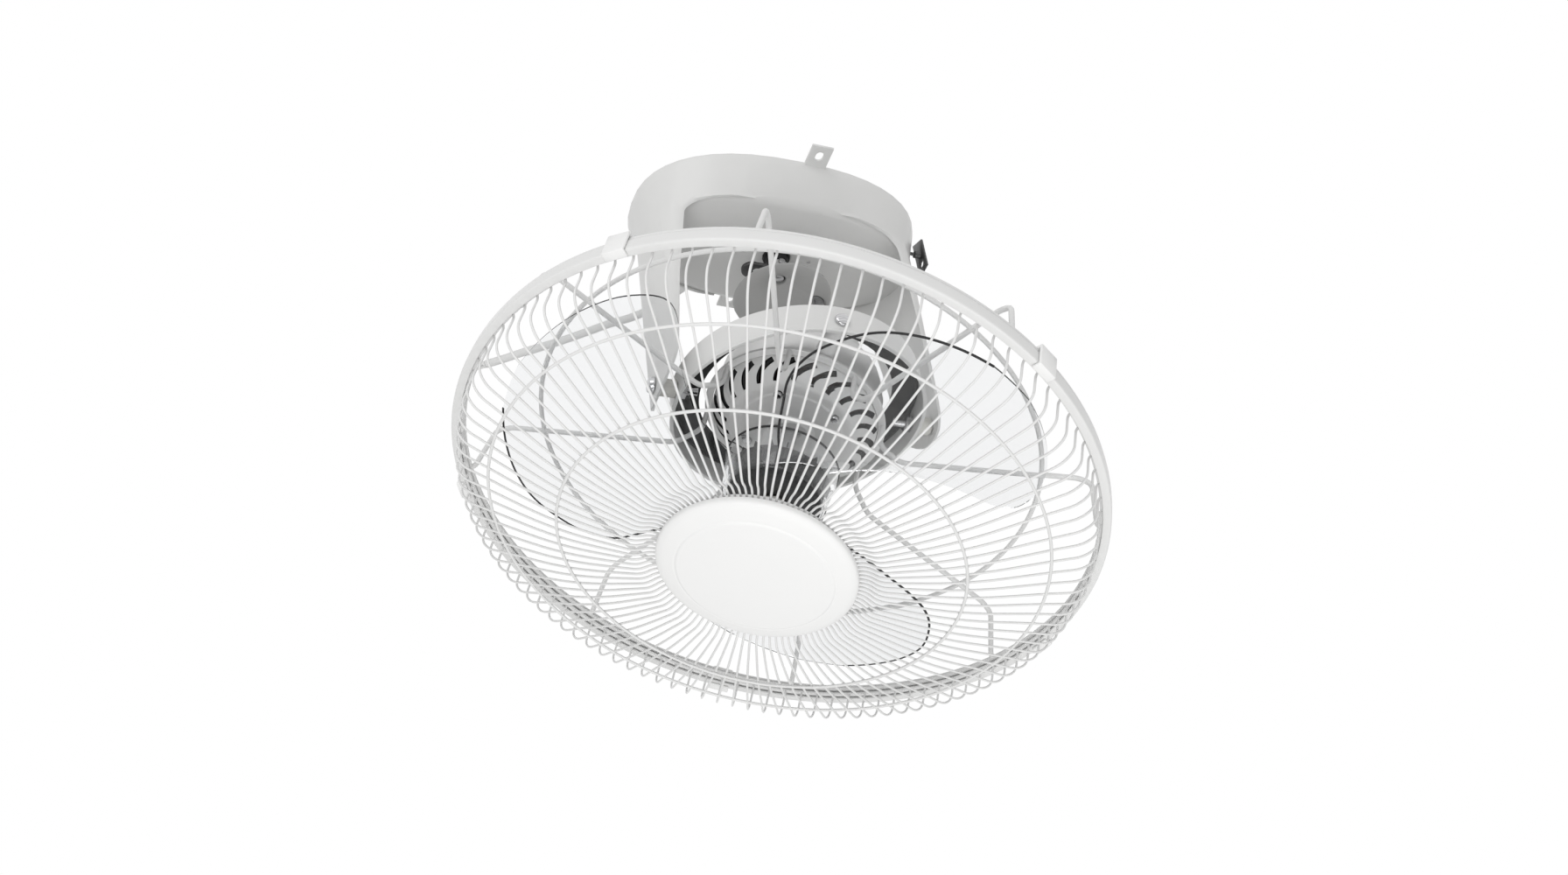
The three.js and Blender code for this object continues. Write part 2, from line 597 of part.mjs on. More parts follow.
const [armOuter] = armAtDepth(pivotDrop);
const armInner = armOuter - sheet;
for (const [turn, name] of [[Math.PI, 'left'], [0, 'right']]) {
  const onArm = (geometry) => geometry.rotateY(Math.PI / 2).rotateZ(turn).translate(0, 0, -pivotDrop);
  const nutEnd = ringInner - seatGap;
  place(`ring_pivot_bolt_${name}`, onArm(join(
    rod(ringPivot.headRadius, armOuter + seatGap, armOuter + seatGap + ringPivot.headHeight, 16,
      ringPivot.headRadius * 0.75),
    rod(ringPivot.radius, nutEnd - ringPivot.nutHeight - ringPivot.tip, armOuter + 1, 12),
  )), brightSteel);
  place(`ring_pivot_bush_${name}`, onArm(
    tube(ringPivot.bushRadius, ringPivot.radius + seatGap, ring.radius + seatGap, armInner - arm.bow, 12),
  ), nylon);
  place(`ring_pivot_nut_${name}`, onArm(cut(
    hexagon(ringPivot.nutRadius, nutEnd - ringPivot.nutHeight, nutEnd - seatGap),
    rod(ringPivot.radius + seatGap, nutEnd - ringPivot.nutHeight - 1, nutEnd + 1, 12),
  )), brightSteel);
}

// ---------------------------------------------------------------- motor (head frame, forward is -Z)

function rearBell() {
  const inner = motor.radius - motor.wall;
  const webLow = motor.rear - motor.webThickness;
  const bossLow = stator.rear + 1;
  const pocket = bearing.radius + seatGap;
  const shell = turned([
    [inner, -motor.split], [motor.radius, -motor.split], [motor.radius, motor.rear - 12],
    [motor.radius - 3, motor.rear], [shaft.radius + 1.5, motor.rear], [shaft.radius + 1.5, webLow],
    [pocket, webLow], [pocket, bossLow], [pocket + motor.wall, bossLow], [pocket + motor.wall, webLow],
    [inner, webLow],
  ], 30);
  const bosses = [-1, 1].map((side) => (
    rodY(headPivot.bossRadius, side * headPivot.bossEnd, side * (motor.radius - 2), 16)
  ));
  const holes = [-1, 1].map((side) => rodY(
    headPivot.radius + seatGap, side * (headPivot.bossEnd + 1), side * (headPivot.bossEnd - headPivot.depth), 12,
  ));
  return cut(join(shell, ...bosses), ...holes);
}

function rearCapProfile() {
  const low = motor.rear + seatGap;
  const outer = [
    [motor.capRadius + 10, low], [motor.capRadius + 9, low + 6], [motor.capRadius + 1, low + 14],
    [motor.capRadius, low + 28], [motor.capRadius - 5, low + 43], [motor.capRadius - 18, low + 56],
    [motor.neckRadius + 2, low + motor.capLength],
    [motor.neckRadius, motor.neckTop], [0, motor.neckTop],
  ];
  const inner = [
    [0, low + 50], [motor.capRadius - 14, low + 46], [motor.capRadius - motor.wall, low + 26],
    [motor.capRadius - motor.wall, low + 13], [motor.capRadius + 6, low + 5], [motor.capRadius + 7, low],
  ];
  return [...outer, ...inner];
}

function frontBell() {
  const wall = motor.wall - 0.5;
  const start = -motor.split - seatGap;
  const pocket = bearing.radius + seatGap;
  const shell = turned([
    [motor.radius, start], [motor.radius, -motor.shoulder], [motor.radius - 3, -motor.shoulder - 4],
    [motor.faceRadius, -motor.face], [motor.noseRadius + 2, -motor.face - 1.5], [motor.noseRadius, -motor.nose],
    [shaft.radius + 2, -motor.nose],
    [shaft.radius + 2, -motor.nose + wall], [pocket, -motor.nose + wall],
    [pocket, -motor.nose + wall + bearing.seatDepth], [pocket + wall, -motor.nose + wall + bearing.seatDepth],
    [pocket + wall, -motor.face + wall], [motor.faceRadius - 1, -motor.face + wall],
    [motor.radius - 3 - wall, -motor.shoulder - 3], [motor.radius - wall, start],
  ], 28);
  const long = vents.outerRadius - vents.innerRadius;
  const slot = box([long, vents.width, 14], [0, 0, -motor.face + 4])
    .rotateZ(radians(vents.lean)).translate((vents.outerRadius + vents.innerRadius) / 2, 0, 0);
  const screwHoles = bellScrew.turns.map((turn) => (
    rod(bellScrew.radius + seatGap, -motor.face - 4, -motor.face + 6, 8)
      .translate(bellScrew.circle, 0, 0).rotateZ(radians(turn))
  ));
  return cut(shell, ...around(slot, vents.count), ...screwHoles);
}

const headForward = (geometry) => geometry.rotateX(Math.PI);  // flips a piece made on +Z to face -Z

place('motor_rear_bell', rearBell(), greyCasting, head);
place('motor_rear_cap', turned(rearCapProfile(), 20), greyCasting, head);
place('tail_ball', turned([
  [0, motor.neckTop + seatGap], [4, motor.neckTop + seatGap], [6.2, motor.neckTop + 2],
  [motor.ballRadius, motor.tailEnd - 5], [5.5, motor.tailEnd - 1.5], [0, motor.tailEnd],
], 16), nylon, head);
place('motor_front_bell', frontBell(), greyCasting, head);

for (let i = 0; i < bellScrew.turns.length; i += 1) {
  const faceHere = motor.face + 1.5 * (motor.faceRadius - bellScrew.circle) / (motor.faceRadius - motor.noseRadius - 2);
  const screw = headForward(panScrew(bellScrew.headRadius, bellScrew.headHeight, bellScrew.radius, bellScrew.length))
    .translate(bellScrew.circle, 0, -faceHere - seatGap * 2);
  screw.rotateZ(radians(bellScrew.turns[i]));
  place(`motor_bell_screw_${i + 1}`, screw, brightSteel, head);
}

function statorCore() {
  const slots = around(
    box([stator.slotOuter - stator.slotInner, stator.slotWidth, 60], [
      (stator.slotOuter + stator.slotInner) / 2, 0, 0,
    ]),
    stator.slots,
  );
  return cut(tube(stator.radius, stator.bore, -stator.front, stator.rear, 24), ...slots);
}

function coil() {
  const [low, high] = [-stator.front - seatGap, stator.rear + seatGap];
  const bars = around(
    box([stator.slotOuter - stator.slotInner - 2 * seatGap, stator.slotWidth - 2 * seatGap, high - low + 2], [
      (stator.slotOuter + stator.slotInner) / 2, 0, (high + low) / 2,
    ]),
    stator.slots,
  );
  return join(
    tube(winding.outerRadius, winding.innerRadius, low - winding.overhang, low, 24),
    tube(winding.outerRadius, winding.innerRadius, high, high + winding.overhang, 24),
    ...bars,
  );
}

const bearingRing = (low) => tube(bearing.radius, shaft.radius + seatGap, low, low + bearing.width, 20);

place('stator_core', statorCore(), lamination, head);
place('stator_winding', coil(), copper, head);
place('front_bearing', bearingRing(-motor.nose + motor.wall - 0.5 + seatGap), brightSteel, head);
place('rear_bearing', bearingRing(motor.rear - motor.webThickness - seatGap - bearing.width), brightSteel, head);

for (const [side, name] of [[-1, 'near'], [1, 'far']]) {
  const alongY = (geometry) => geometry.rotateX(-Math.PI / 2 * side);
  place(`head_pivot_screw_${name}`, alongY(join(
    turned([
      [0, ring.radius + seatGap], [headPivot.headRadius, ring.radius + seatGap],
      [headPivot.headRadius * 0.86, ring.radius + headPivot.headHeight * 0.6],
      [0, ring.radius + headPivot.headHeight],
    ], 16),
    rod(headPivot.radius, headPivot.bossEnd - headPivot.depth + 1, ring.radius + 1, 10),
  )), brightSteel, head);
  place(`head_pivot_bush_${name}`, alongY(
    tube(headPivot.bossRadius - 1, headPivot.radius + seatGap, headPivot.bossEnd + seatGap, ringInner - seatGap * 2, 12),
  ), nylon, head);
}

// ---------------------------------------------------------------- rotor

place('motor_shaft', rod(shaft.radius, -shaft.end, shaft.rear), brightSteel, head);
place('rotor_core', tube(rotorCore.radius, shaft.radius + seatGap, -stator.front, stator.rear, 24), lamination, head);

function hubInsert() {
  const [low, high] = [-hub.front + hub.wall + seatGap, -hub.rear + 4];
  const ribReach = hub.frontRadius - hub.wall - seatGap;
  const rib = box([ribReach - 10, hub.ribWidth, high - low - 6], [(ribReach + 10) / 2, 0, (high + low) / 2]);
  return cut(
    join(rod(hub.insertRadius, low, high, 18), ...around(rib, hub.ribs)),
    rod(shaft.radius + seatGap, low - 1, high + 1, 24),
  );
}

/** A point of a blade's middle surface: station of the outline, and share of the chord from the front edge. */
function bladePoint(station, share) {
  const [radius, frontEdge, rearEdge] = blades.outline[station];
  const outward = Math.min(1, station / 3);
  const angle = THREE.MathUtils.lerp(frontEdge, rearEdge, share);
  const pitch = THREE.MathUtils.lerp(blades.rootPitch, blades.pitch, outward);
  const ahead = THREE.MathUtils.lerp(blades.rootMiddle, blades.middle, outward) - pitch * angle;
  return [radius * Math.cos(radians(angle)), radius * Math.sin(radians(angle)), -ahead];
}

function blade() {
  const { chordSteps, thickness } = blades;
  const radialSteps = blades.outline.length - 1;
  const across = chordSteps + 1;
  const positions = [];
  const index = [];
  for (const side of [0, 1]) {
    for (let i = 0; i <= radialSteps; i += 1) {
      for (let j = 0; j <= chordSteps; j += 1) {
        const [x, y, z] = bladePoint(i, j / chordSteps);
        positions.push(x, y, z + (side - 0.5) * thickness);
      }
    }
  }
  const sheetSize = (radialSteps + 1) * across;
  const at = (side, i, j) => side * sheetSize + i * across + j;
  const quad = (a, b, c, d) => index.push(a, b, c, a, c, d);
  for (let i = 0; i < radialSteps; i += 1) {
    for (let j = 0; j < chordSteps; j += 1) {
      quad(at(1, i, j), at(1, i + 1, j), at(1, i + 1, j + 1), at(1, i, j + 1));
      quad(at(0, i, j), at(0, i, j + 1), at(0, i + 1, j + 1), at(0, i + 1, j));
    }
    quad(at(0, i, 0), at(0, i + 1, 0), at(1, i + 1, 0), at(1, i, 0));
    quad(at(0, i + 1, chordSteps), at(0, i, chordSteps), at(1, i, chordSteps), at(1, i + 1, chordSteps));
  }
  for (let j = 0; j < chordSteps; j += 1) {
    quad(at(0, 0, j + 1), at(0, 0, j), at(1, 0, j), at(1, 0, j + 1));
    quad(at(0, radialSteps, j), at(0, radialSteps, j + 1), at(1, radialSteps, j + 1), at(1, radialSteps, j));
  }
  const geometry = new THREE.BufferGeometry();
  geometry.setAttribute('position', new THREE.Float32BufferAttribute(positions, 3));
  geometry.setIndex(index);
  return geometry;
}

function impeller() {
  const cup = turned([
    [hub.radius, -hub.rear], [hub.radius - hub.wall, -hub.rear],
    [hub.frontRadius - hub.wall, -hub.front + hub.wall], [shaft.radius + 1, -hub.front + hub.wall],
    [shaft.radius + 1, -hub.front], [hub.frontRadius - 2, -hub.front], [hub.frontRadius, -hub.front + 3],
  ], 27);
  return join(cup, ...around(blade(), blades.count, blades.phase));
}

place('hub_insert', hubInsert(), blackPlastic, head);
place('impeller', impeller(), clearPlastic, head);
place('hub_nut', cut(
  hexagon(hubNut.radius, -hub.front - seatGap - hubNut.height, -hub.front - seatGap),
  rod(shaft.radius + seatGap, -hub.front - 20, -hub.front + 1, 20),
), nylon, head);

// ---------------------------------------------------------------- guard

const bandPlane = -band.distance;

/** A guard wire in a plane through the fan axis, from [radius, forward of the band] points. */
const radialWire = (points, radius) => bentWire(points.map(([r, z]) => [r, bandPlane - z]), radius);

function frontGrille() {
  const g = frontGuard;
  const edgeRadius = guardEdge.radius - g.edgeInset;
  const spoke = radialWire([
    [guardEdge.radius, guardEdge.lift], [edgeRadius, guardEdge.lift + 2.4],
    [edgeRadius, g.sideTop], [guardEdge.radius - g.shoulderInset, g.shoulderTop],
    [g.outerRingRadius, g.outerRingTop], [g.innerRingRadius, g.innerRingTop], [g.neckRadius, g.neckTop],
    [g.jogRadius, g.endTop], [g.endRadius, g.endTop],
  ], g.wire);
  const hoop = (radius, top, size) => wireRing(radius, bandPlane - top, size, g.spokes);
  return join(
    hoop(guardEdge.radius, guardEdge.lift, guardEdge.wire),
    hoop(g.outerRingRadius, g.outerRingTop + g.wire * 0.6, g.ringWire),
    hoop(g.innerRingRadius, g.innerRingTop + g.wire * 0.6, g.ringWire),
    hoop(g.endRadius, g.endTop, g.ringWire),
    ...around(spoke, g.spokes, 180 / g.spokes),
  );
}

function rearFrame() {
  const g = rearGuard;
  const collarMiddle = g.collarStart + g.collarWidth / 2;
  const bendRadius = guardEdge.radius - g.bendInset;
  const leg = radialWire([
    [guardEdge.radius, -guardEdge.lift], [guardEdge.radius - g.edgeInset, -guardEdge.lift - 2.4],
    [bendRadius, -g.bendBack], [bendRadius - 9, -g.flatBack], [g.supportRadius, -g.flatBack],
    [g.kinkRadius, -g.flatBack], [g.neckRadius, -g.neckBack], [g.neckRadius, -(band.distance - collarMiddle)],
  ], g.wire);
  return join(
    wireRing(guardEdge.radius, bandPlane + guardEdge.lift, guardEdge.wire),
    wireRing(g.supportRadius, bandPlane + g.flatBack + g.wire * 0.6, g.wire),
    tube(g.neckRadius + g.wire, motor.radius + seatGap, -g.collarStart - g.collarWidth,
      -g.collarStart, 28),
    ...around(leg, g.wires, 180 / g.wires),
  );
}

function bandProfile() {
  const { radius, lip, wall, halfHeight } = band;
  const lipRadius = radius - lip;
  return [
    [lipRadius, halfHeight], [radius, halfHeight], [radius, -halfHeight], [lipRadius, -halfHeight],
    [lipRadius, -halfHeight + wall], [radius - wall, -halfHeight + wall], [radius - wall, halfHeight - wall],
    [lipRadius, halfHeight - wall],
  ].map(([r, z]) => [r, z + bandPlane]);
}

function clipPiece() {
  const inner = band.radius + seatGap;
  const edge = band.halfHeight + seatGap;
  const shape = new THREE.Shape([
    [inner - clip.grip, edge], [inner, edge], [inner, -edge], [inner - clip.grip, -edge],
    [inner - clip.grip, -edge - clip.wall], [inner + clip.wall, -edge - clip.wall],
    [inner + clip.wall, edge + clip.wall], [inner - clip.grip, edge + clip.wall],
  ].map((p) => new THREE.Vector2(...p)));
  return plate(shape, -clip.width / 2, clip.width / 2).rotateX(Math.PI / 2).translate(0, 0, bandPlane);
}

place('rear_guard', rearFrame(), whiteSteel, head);
place('front_guard', frontGrille(), whiteSteel, head);
place('trim_ring', turned(bandProfile(), 56), whitePlastic, head);
for (let i = 0; i < band.clipCount; i += 1) {
  const piece = clipPiece().rotateZ(radians(band.clipPhase) + i * tau / band.clipCount);
  place(`guard_clip_${i + 1}`, piece, whitePlastic, head);
}

// ---------------------------------------------------------------- centre cap

const plateTop = frontGuard.endTop - frontGuard.ringWire - seatGap;
const plateLow = plateTop - cap.plateThickness;
const capScrewPlaces = [-1, 1].map((side) => [side * cap.screwCircle, 0]);
const capForward = (geometry) => headForward(geometry).translate(0, 0, bandPlane);

function capShell() {
  const shell = turned([
    [0, cap.crown], [cap.lineRadius, cap.crown - 2.8], [cap.radius, cap.edgeTop],
    [cap.radius, cap.edgeBack], [cap.radius - cap.wall, cap.edgeBack], [cap.radius - cap.wall, cap.edgeTop - 1.5],
    [cap.lineRadius, cap.crown - 2.8 - cap.wall], [0, cap.crown - cap.wall],
  ], 36);
  const bosses = capScrewPlaces.map(([x, y]) => rod(cap.bossRadius, plateTop + seatGap, cap.crown - 4, 16)
    .translate(x, y, 0));
  const holes = capScrewPlaces.map(([x, y]) => rod(cap.screwRadius + 0.2, plateTop - 1, plateTop + 7, 10)
    .translate(x, y, 0));
  return cut(join(shell, ...bosses), ...holes);
}

place('centre_cap', capForward(capShell()), whitePlastic, head);
place('cap_plate', capForward(cut(
  rod(cap.plateRadius, plateLow, plateTop, 32),
  ...capScrewPlaces.map(([x, y]) => rod(cap.screwRadius + seatGap, plateLow - 1, plateTop + 1, 10)
    .translate(x, y, 0)),
)), whitePlastic, head);
capScrewPlaces.forEach(([x, y], i) => {
  const screw = panScrew(3.2, 2, cap.screwRadius, 8).rotateX(Math.PI).translate(x, y, plateLow - seatGap);
  place(`cap_screw_${i + 1}`, capForward(screw), brightSteel, head);
});

export default fan;
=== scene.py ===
# Orbital ceiling fan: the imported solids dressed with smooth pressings, wire guards and clear blades.
# Sizes in the dictionaries are millimetres; the scene itself is in metres, +Z up, ceiling at z = 0.

import json
import math
import bpy
from mathutils import Matrix, Vector


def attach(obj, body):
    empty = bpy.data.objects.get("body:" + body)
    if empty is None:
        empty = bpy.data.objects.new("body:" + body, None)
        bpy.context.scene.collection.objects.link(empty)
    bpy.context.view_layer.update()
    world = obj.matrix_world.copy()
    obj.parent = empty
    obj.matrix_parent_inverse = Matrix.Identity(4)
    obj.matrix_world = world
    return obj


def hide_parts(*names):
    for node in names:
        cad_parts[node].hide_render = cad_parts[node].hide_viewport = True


mm = 0.001
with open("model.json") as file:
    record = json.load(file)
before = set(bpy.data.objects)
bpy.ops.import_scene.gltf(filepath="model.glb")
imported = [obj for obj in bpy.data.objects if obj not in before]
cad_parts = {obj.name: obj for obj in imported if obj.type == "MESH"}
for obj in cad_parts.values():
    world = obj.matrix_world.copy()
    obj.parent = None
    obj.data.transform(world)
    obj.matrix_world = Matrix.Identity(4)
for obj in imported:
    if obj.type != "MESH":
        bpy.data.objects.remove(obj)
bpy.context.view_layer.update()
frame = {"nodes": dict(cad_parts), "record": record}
bodyOf = {node: body for body, nodes in frame["record"]["behaviour"]["bodies"].items() for node in nodes}
slotOf = {part["node"]: part["material_slot"] for part in frame["record"]["subparts"]}
print("frame loaded", len(frame["nodes"]), "nodes")

head = {"drop": 196, "tilt": 17, "bandDistance": 96}
headPlace = Matrix.Translation((0, 0, -head["drop"] * mm)) @ Matrix.Rotation(math.radians(head["tilt"]), 4, "Y")


# ---- materials

def makeGrain():
    # A shared effect: fine moulding grain and faint soiling, as values and a normal.
    group = bpy.data.node_groups.new("fineGrain", "ShaderNodeTree")
    face = group.interface
    for name, kind, start in (("Scale", "NodeSocketFloat", 900.0), ("Depth", "NodeSocketFloat", 0.05)):
        face.new_socket(name, in_out="INPUT", socket_type=kind).default_value = start
    face.new_socket("Grain", in_out="OUTPUT", socket_type="NodeSocketFloat")
    face.new_socket("Patches", in_out="OUTPUT", socket_type="NodeSocketFloat")
    face.new_socket("Normal", in_out="OUTPUT", socket_type="NodeSocketVector")
    nodes, links = group.nodes, group.links
    entry = nodes.new("NodeGroupInput")
    leave = nodes.new("NodeGroupOutput")
    place = nodes.new("ShaderNodeTexCoord")
    grain = nodes.new("ShaderNodeTexNoise")
    grain.inputs["Detail"].default_value = 3
    patches = nodes.new("ShaderNodeTexNoise")
    patches.inputs["Scale"].default_value = 28
    patches.inputs["Detail"].default_value = 2
    bump = nodes.new("ShaderNodeBump")
    bump.inputs["Distance"].default_value = 0.0002
    links.new(place.outputs["Object"], grain.inputs["Vector"])
    links.new(place.outputs["Object"], patches.inputs["Vector"])
    links.new(entry.outputs["Scale"], grain.inputs["Scale"])
    links.new(entry.outputs["Depth"], bump.inputs["Strength"])
    links.new(grain.outputs["Fac"], bump.inputs["Height"])
    links.new(grain.outputs["Fac"], leave.inputs["Grain"])
    links.new(patches.outputs["Fac"], leave.inputs["Patches"])
    links.new(bump.outputs["Normal"], leave.inputs["Normal"])
    return group


grainGroup = makeGrain()


def makeMaterial(name, low, high, rough, scale, depth, metallic=0, coat=0, clear=0, streaks=None):
    # low and high are the darker and lighter colour that the faint patches run between; scale and depth
    # are those of the fine grain, and streaks is how many lines a metre a turned metal has.
    material = bpy.data.materials.new(name)
    material.use_nodes = True
    nodes, links = material.node_tree.nodes, material.node_tree.links
    shader = nodes["Principled BSDF"]
    shader.inputs["Metallic"].default_value = metallic
    shader.inputs["Coat Weight"].default_value = coat
    shader.inputs["Transmission Weight"].default_value = clear
    shader.inputs["IOR"].default_value = 1.47
    shader.inputs["Specular IOR Level"].default_value = 0.5 if metallic else 0.3
    grain = nodes.new("ShaderNodeGroup")
    grain.node_tree = grainGroup
    grain.inputs["Scale"].default_value = scale
    grain.inputs["Depth"].default_value = depth
    colour = nodes.new("ShaderNodeMix")
    colour.data_type = "RGBA"
    colour.inputs["A"].default_value = (*low, 1)
    colour.inputs["B"].default_value = (*high, 1)
    links.new(grain.outputs["Patches"], colour.inputs["Factor"])
    links.new(colour.outputs["Result"], shader.inputs["Base Color"])
    gloss = nodes.new("ShaderNodeMapRange")
    gloss.inputs["To Min"].default_value = rough * 0.8
    gloss.inputs["To Max"].default_value = rough * 1.2
    links.new(grain.outputs["Grain"], gloss.inputs["Value"])
    links.new(gloss.outputs["Result"], shader.inputs["Roughness"])
    links.new(grain.outputs["Normal"], shader.inputs["Normal"])
    if streaks:
        # Turned metal has fine streaks round the fan's axis.
        shader.inputs["Anisotropic"].default_value = 0.4
        place = nodes.new("ShaderNodeTexCoord")
        rings = nodes.new("ShaderNodeTexWave")
        rings.wave_type = "RINGS"
        rings.inputs["Scale"].default_value = streaks
        rings.inputs["Distortion"].default_value = 2
        links.new(place.outputs["Object"], rings.inputs["Vector"])
        worn = nodes.new("ShaderNodeMix")
        worn.data_type = "RGBA"
        worn.inputs["B"].default_value = (*[value * 0.6 for value in low], 1)
        faint = nodes.new("ShaderNodeMapRange")
        faint.inputs["To Max"].default_value = 0.5
        links.new(rings.outputs["Fac"], faint.inputs["Value"])
        links.new(faint.outputs["Result"], worn.inputs["Factor"])
        links.new(colour.outputs["Result"], worn.inputs["A"])
        links.new(worn.outputs["Result"], shader.inputs["Base Color"])
    return material


materials = {
    "white_paint": makeMaterial(
        "whiteEnamel", (0.75, 0.75, 0.742), (0.79, 0.79, 0.782), rough=0.36, scale=1400, depth=0.08, coat=0.15),
    "white_plastic": makeMaterial(
        "whitePlastic", (0.90, 0.90, 0.895), (0.92, 0.92, 0.915), rough=0.36, scale=900, depth=0.04),
    "grey_paint": makeMaterial(
        "greyCasting", (0.74, 0.74, 0.735), (0.80, 0.80, 0.795), rough=0.4, metallic=0.1, scale=700, depth=0.2),
    "grey_plastic": makeMaterial(
        "greyPlastic", (0.54, 0.54, 0.535), (0.59, 0.59, 0.585), rough=0.5, scale=1100, depth=0.1),
    # Real black plastic on most parts; on the gimbal liner and inside the front bell the same near-black is
    # painted shade.
    "black_plastic": makeMaterial(
        "blackPlasticAndPaintedShade", (0.01, 0.01, 0.01), (0.018, 0.018, 0.019), rough=0.3, scale=1100, depth=0.03),
    "bright_steel": makeMaterial(
        "brightSteel", (0.56, 0.56, 0.57), (0.66, 0.66, 0.67), rough=0.14, metallic=1, scale=600, depth=0.03,
        streaks=180),
    "dark_steel": makeMaterial(
        "darkSteel", (0.10, 0.10, 0.10), (0.15, 0.15, 0.152), rough=0.4, metallic=0.85, scale=800, depth=0.12,
        streaks=120),
    "nylon": makeMaterial(
        "nylon", (0.74, 0.73, 0.69), (0.80, 0.79, 0.75), rough=0.48, scale=900, depth=0.05),
    # Dark varnished copper, darkened further to near black as painted shade seen through the bell's slots.
    "copper": makeMaterial(
        "darkCopperAndPaintedShade", (0.03, 0.014, 0.008), (0.06, 0.03, 0.015), rough=0.42, metallic=0.6, scale=500,
        depth=0.3),
    # Dark steel laminations, darkened further to near black as painted shade seen through the bell's slots.
    "lamination": makeMaterial(
        "lamination", (0.03, 0.03, 0.031), (0.05, 0.05, 0.052), rough=0.5, metallic=0.7, scale=600, depth=0.25,
        streaks=300),
    "clear_plastic": makeMaterial(
        "clearPlastic", (0.93, 0.935, 0.94), (0.96, 0.965, 0.97), rough=0.02, scale=400, depth=0.005, clear=1),
    "cord_jacket": makeMaterial(
        "cordJacket", (0.74, 0.74, 0.735), (0.79, 0.79, 0.785), rough=0.5, scale=1500, depth=0.12),
}
grille = makeMaterial(
    "grilleEnamel", (0.79, 0.79, 0.785), (0.82, 0.82, 0.815), rough=0.3, scale=1600, depth=0.06, coat=0.1)
# Near-black painted shade for the edges of the clear blades and the hub cup's rim, where clear plastic looks dark.
paintedEdgeShade = makeMaterial("bladeEdgeShade", (0.02, 0.02, 0.021), (0.035, 0.035, 0.036), rough=0.3, scale=900, depth=0.03)
print("materials made")


# ---- modelling helpers

def deselectAll():
    for obj in bpy.context.selected_objects:
        obj.select_set(False)


def activate(obj):
    deselectAll()
    obj.select_set(True)
    bpy.context.view_layer.objects.active = obj


def bakePlace(obj):
    activate(obj)
    bpy.ops.object.transform_apply(location=True, rotation=True, scale=True)


def onHead(obj):
    # A piece modelled about the upright fan axis is turned and moved to the tilted head.
    obj.matrix_world = headPlace @ obj.matrix_world
    bakePlace(obj)
    return obj


def paint(obj, *slots):
    obj.data.materials.clear()
    for slot in slots:
        obj.data.materials.append(materials[slot] if isinstance(slot, str) else slot)


def finishPiece(obj, body, slot, nodes, coat=None, smooth=35):
    # coat holds other paints than the slot's own; an empty one keeps the paints that the piece has.
    activate(obj)
    bpy.ops.object.shade_smooth_by_angle(angle=math.radians(smooth))
    if coat is None:
        paint(obj, slot)
    elif coat:
        paint(obj, *coat)
    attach(obj, body)
    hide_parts(*nodes)


def softBends(points, steps=5):
    # Points are (a, b) or (a, b, bend): a bend rounds that corner off by so many millimetres.
    result = []
    count = len(points)
    for i, point in enumerate(points):
        here = Vector(point[:2])
        bend = point[2] if len(point) > 2 else 0
        if not bend:
            result.append(here)
            continue
        before = Vector(points[i - 1][:2]) - here
        after = Vector(points[(i + 1) % count][:2]) - here
        reach = min(bend, before.length * 0.49, after.length * 0.49)
        start = here + before.normalized() * reach
        end = here + after.normalized() * reach
        for k in range(steps + 1):
            t = k / steps
            result.append(start * (1 - t) ** 2 + here * 2 * t * (1 - t) + end * t ** 2)
    return result


def turnedPiece(name, outline, segments=128, closed=True, steps=5):
    # A ring of edges is drawn out along the outline, ring by ring, as on a lathe.
    points = softBends(outline, steps)
    if closed:
        points.append(points[0])
    deselectAll()
    bpy.ops.mesh.primitive_circle_add(vertices=segments, radius=points[0][0] * mm,
                                      location=(0, 0, points[0][1] * mm))
    obj = bpy.context.object
    obj.name = name
    bpy.ops.object.mode_set(mode="EDIT")
    bpy.ops.mesh.select_all(action="SELECT")
    for here, there in zip(points, points[1:]):
        bpy.ops.mesh.extrude_region_move(TRANSFORM_OT_translate={"value": (0, 0, (there[1] - here[1]) * mm)})
        grow = there[0] / here[0]
        bpy.ops.transform.resize(value=(grow, grow, 1), center_override=(0, 0, there[1] * mm))
    bpy.ops.mesh.select_all(action="SELECT")
    bpy.ops.mesh.remove_doubles(threshold=1e-6)
    if not closed:
        bpy.ops.mesh.fill_holes(sides=0)
    bpy.ops.mesh.select_all(action="SELECT")
    bpy.ops.mesh.normals_make_consistent(inside=False)
    bpy.ops.object.mode_set(mode="OBJECT")
    bakePlace(obj)
    return obj


def wirePiece(name, points, radius, sides=2, cyclic=False):
    # A drawn wire of round section along 3-D points in millimetres.
    curve = bpy.data.curves.new(name, "CURVE")
    curve.dimensions = "3D"
    curve.bevel_depth = radius * mm
    curve.bevel_resolution = sides
    curve.use_fill_caps = not cyclic
    line = curve.splines.new("POLY")
    line.points.add(len(points) - 1)
    for spot, point in zip(line.points, points):
        spot.co = (*[value * mm for value in point], 1)
    line.use_cyclic_u = cyclic
    obj = bpy.data.objects.new(name, curve)
    bpy.context.collection.objects.link(obj)
    activate(obj)
    bpy.ops.object.convert(target="MESH")
    return bpy.context.object


def hoop(name, radius, ahead, wire, segments=144):
    points = [(radius * math.cos(i * math.tau / segments), radius * math.sin(i * math.tau / segments), -ahead)
              for i in range(segments)]
    return wirePiece(name, points, wire, cyclic=True)


def copiesAround(obj, count, phase=0.0):
    # Copies of a piece, each with its own mesh, set evenly round the upright axis.
    copies = [obj]
    for i in range(count - 1):
        twin = obj.copy()
        twin.data = obj.data.copy()
        bpy.context.collection.objects.link(twin)
        copies.append(twin)
    for i, twin in enumerate(copies):
        twin.matrix_world = Matrix.Rotation(math.radians(phase) + i * math.tau / count, 4, "Z") @ twin.matrix_world
    return copies


